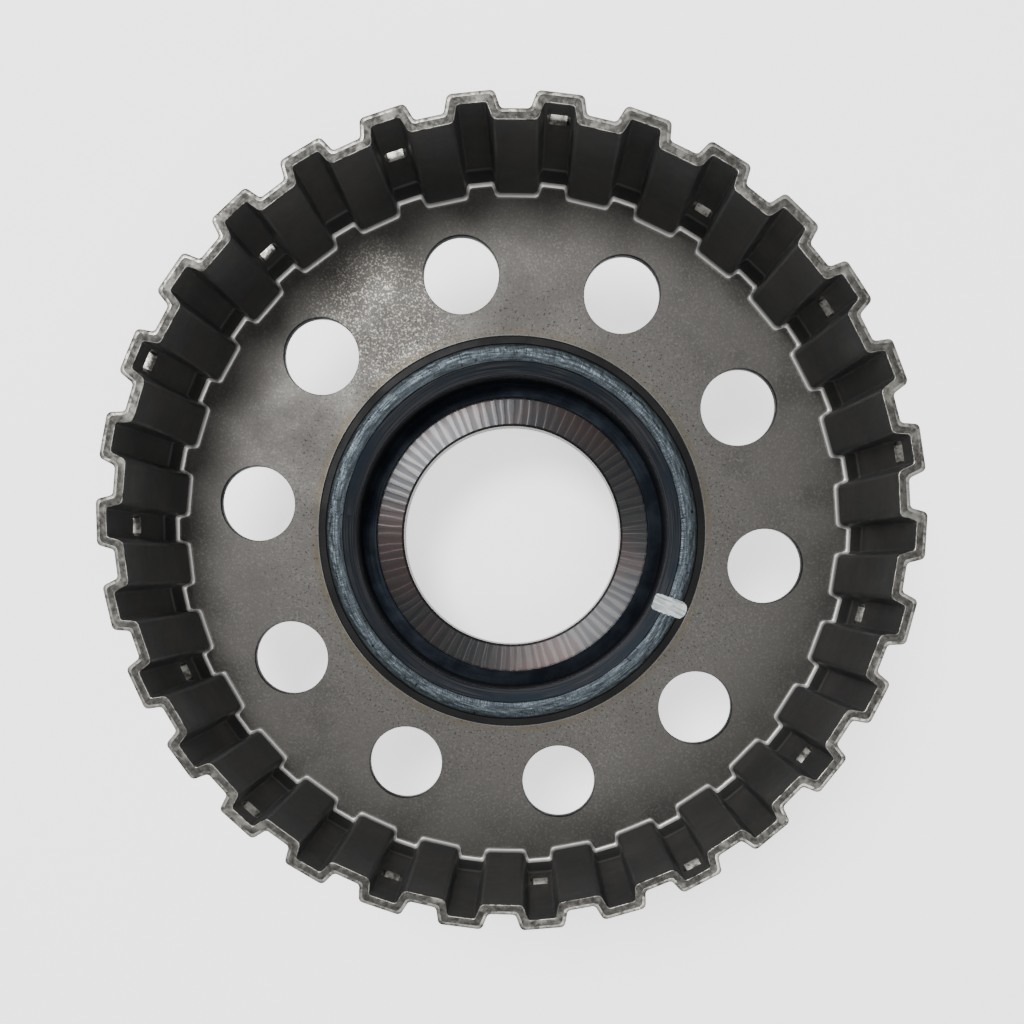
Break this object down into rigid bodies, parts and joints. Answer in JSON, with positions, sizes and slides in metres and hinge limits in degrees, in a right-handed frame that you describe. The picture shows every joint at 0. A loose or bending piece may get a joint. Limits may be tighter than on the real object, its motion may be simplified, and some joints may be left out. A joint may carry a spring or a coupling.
{
  "type": "planetary gear set",
  "caption": "Planetary gear set behind a toothed clutch drum with a welded hub, round web holes and a central through bore.",
  "frame": {"origin": "centre of the end face of the ring gear's flange hub, on which the set stands", "axes": "+Z along the main axis, out of the drum's open side; +X through the middle of a web hole"},
  "size_m": [0.1598, 0.16, 0.0843],
  "materials": {
    "drum_steel": "dark satin formed steel sheet",
    "hub_steel": "dark turned steel, heat tinted",
    "weld_steel": "blue-grey weld scale",
    "gear_steel": "ground and turned hardened steel",
    "carrier_steel": "machined steel",
    "bearing_steel": "polished bearing steel",
    "spring_steel": "black oxide spring steel",
    "bronze": "bearing bronze",
    "marking_paint": "brushed white marking paint"
  },
  "bodies": {
    "drum": {"drum_shell": "drum_steel", "hub_ring": "hub_steel", "weld_bead": "weld_steel", "sun_gear": "gear_steel", "sun_retaining_ring": "spring_steel", "front_thrust_washer": "bronze"},
    "carrier": {"carrier_front_plate": "carrier_steel", "carrier_rear_plate": "carrier_steel", "pinion_pin_1": "bearing_steel", "pinion_pin_2": "bearing_steel", "pinion_pin_3": "bearing_steel", "pinion_pin_4": "bearing_steel", "pinion_pin_5": "bearing_steel", "pinion_pin_6": "bearing_steel", "front_pinion_washer_1": "bronze", "front_pinion_washer_2": "bronze", "front_pinion_washer_3": "bronze", "front_pinion_washer_4": "bronze", "front_pinion_washer_5": "bronze", "front_pinion_washer_6": "bronze", "rear_pinion_washer_1": "bronze", "rear_pinion_washer_2": "bronze", "rear_pinion_washer_3": "bronze", "rear_pinion_washer_4": "bronze", "rear_pinion_washer_5": "bronze", "rear_pinion_washer_6": "bronze"},
    "ring": {"ring_gear": "gear_steel", "ring_flange": "carrier_steel", "ring_flange_bushing": "bronze", "ring_retaining_ring": "spring_steel", "rear_thrust_washer": "bronze"},
    "planet_1": {"planet_pinion_1": "gear_steel"},
    "needles_1": {"needle_rollers_1": "bearing_steel"},
    "planet_2": {"planet_pinion_2": "gear_steel"},
    "needles_2": {"needle_rollers_2": "bearing_steel"},
    "planet_3": {"planet_pinion_3": "gear_steel"},
    "needles_3": {"needle_rollers_3": "bearing_steel"},
    "planet_4": {"planet_pinion_4": "gear_steel"},
    "needles_4": {"needle_rollers_4": "bearing_steel"},
    "planet_5": {"planet_pinion_5": "gear_steel"},
    "needles_5": {"needle_rollers_5": "bearing_steel"},
    "planet_6": {"planet_pinion_6": "gear_steel"},
    "needles_6": {"needle_rollers_6": "bearing_steel"}
  },
  "joints": [
    {"name": "carrier_spin", "type": "hinge", "parent": "drum", "child": "carrier", "pos_m": [0, 0, 0.02], "axis": [0, 0, 1], "continuous": true},
    {"name": "ring_spin", "type": "hinge", "parent": "drum", "child": "ring", "pos_m": [0, 0, 0.02], "axis": [0, 0, 1], "continuous": true},
    {"name": "planet_1_spin", "type": "hinge", "parent": "carrier", "child": "planet_1", "pos_m": [0.04125, 0, 0.018], "axis": [0, 0, 1], "continuous": true},
    {"name": "needles_1_orbit", "type": "hinge", "parent": "carrier", "child": "needles_1", "pos_m": [0.04125, 0, 0.018], "axis": [0, 0, 1], "continuous": true},
    {"name": "planet_2_spin", "type": "hinge", "parent": "carrier", "child": "planet_2", "pos_m": [0.02063, 0.03572, 0.018], "axis": [0, 0, 1], "continuous": true},
    {"name": "needles_2_orbit", "type": "hinge", "parent": "carrier", "child": "needles_2", "pos_m": [0.02063, 0.03572, 0.018], "axis": [0, 0, 1], "continuous": true},
    {"name": "planet_3_spin", "type": "hinge", "parent": "carrier", "child": "planet_3", "pos_m": [-0.02063, 0.03572, 0.018], "axis": [0, 0, 1], "continuous": true},
    {"name": "needles_3_orbit", "type": "hinge", "parent": "carrier", "child": "needles_3", "pos_m": [-0.02063, 0.03572, 0.018], "axis": [0, 0, 1], "continuous": true},
    {"name": "planet_4_spin", "type": "hinge", "parent": "carrier", "child": "planet_4", "pos_m": [-0.04125, 0, 0.018], "axis": [0, 0, 1], "continuous": true},
    {"name": "needles_4_orbit", "type": "hinge", "parent": "carrier", "child": "needles_4", "pos_m": [-0.04125, 0, 0.018], "axis": [0, 0, 1], "continuous": true},
    {"name": "planet_5_spin", "type": "hinge", "parent": "carrier", "child": "planet_5", "pos_m": [-0.02063, -0.03572, 0.018], "axis": [0, 0, 1], "continuous": true},
    {"name": "needles_5_orbit", "type": "hinge", "parent": "carrier", "child": "needles_5", "pos_m": [-0.02063, -0.03572, 0.018], "axis": [0, 0, 1], "continuous": true},
    {"name": "planet_6_spin", "type": "hinge", "parent": "carrier", "child": "planet_6", "pos_m": [0.02063, -0.03572, 0.018], "axis": [0, 0, 1], "continuous": true},
    {"name": "needles_6_orbit", "type": "hinge", "parent": "carrier", "child": "needles_6", "pos_m": [0.02063, -0.03572, 0.018], "axis": [0, 0, 1], "continuous": true}
  ],
  "couplings": [
    {"joint": "ring_spin", "follows": "carrier_spin", "ratio": 1.65},
    {"joint": "planet_1_spin", "follows": "carrier_spin", "ratio": 3.7143},
    {"joint": "needles_1_orbit", "follows": "carrier_spin", "ratio": 2.2159},
    {"joint": "planet_2_spin", "follows": "carrier_spin", "ratio": 3.7143},
    {"joint": "needles_2_orbit", "follows": "carrier_spin", "ratio": 2.2159},
    {"joint": "planet_3_spin", "follows": "carrier_spin", "ratio": 3.7143},
    {"joint": "needles_3_orbit", "follows": "carrier_spin", "ratio": 2.2159},
    {"joint": "planet_4_spin", "follows": "carrier_spin", "ratio": 3.7143},
    {"joint": "needles_4_orbit", "follows": "carrier_spin", "ratio": 2.2159},
    {"joint": "planet_5_spin", "follows": "carrier_spin", "ratio": 3.7143},
    {"joint": "needles_5_orbit", "follows": "carrier_spin", "ratio": 2.2159},
    {"joint": "planet_6_spin", "follows": "carrier_spin", "ratio": 3.7143},
    {"joint": "needles_6_orbit", "follows": "carrier_spin", "ratio": 2.2159}
  ]
}
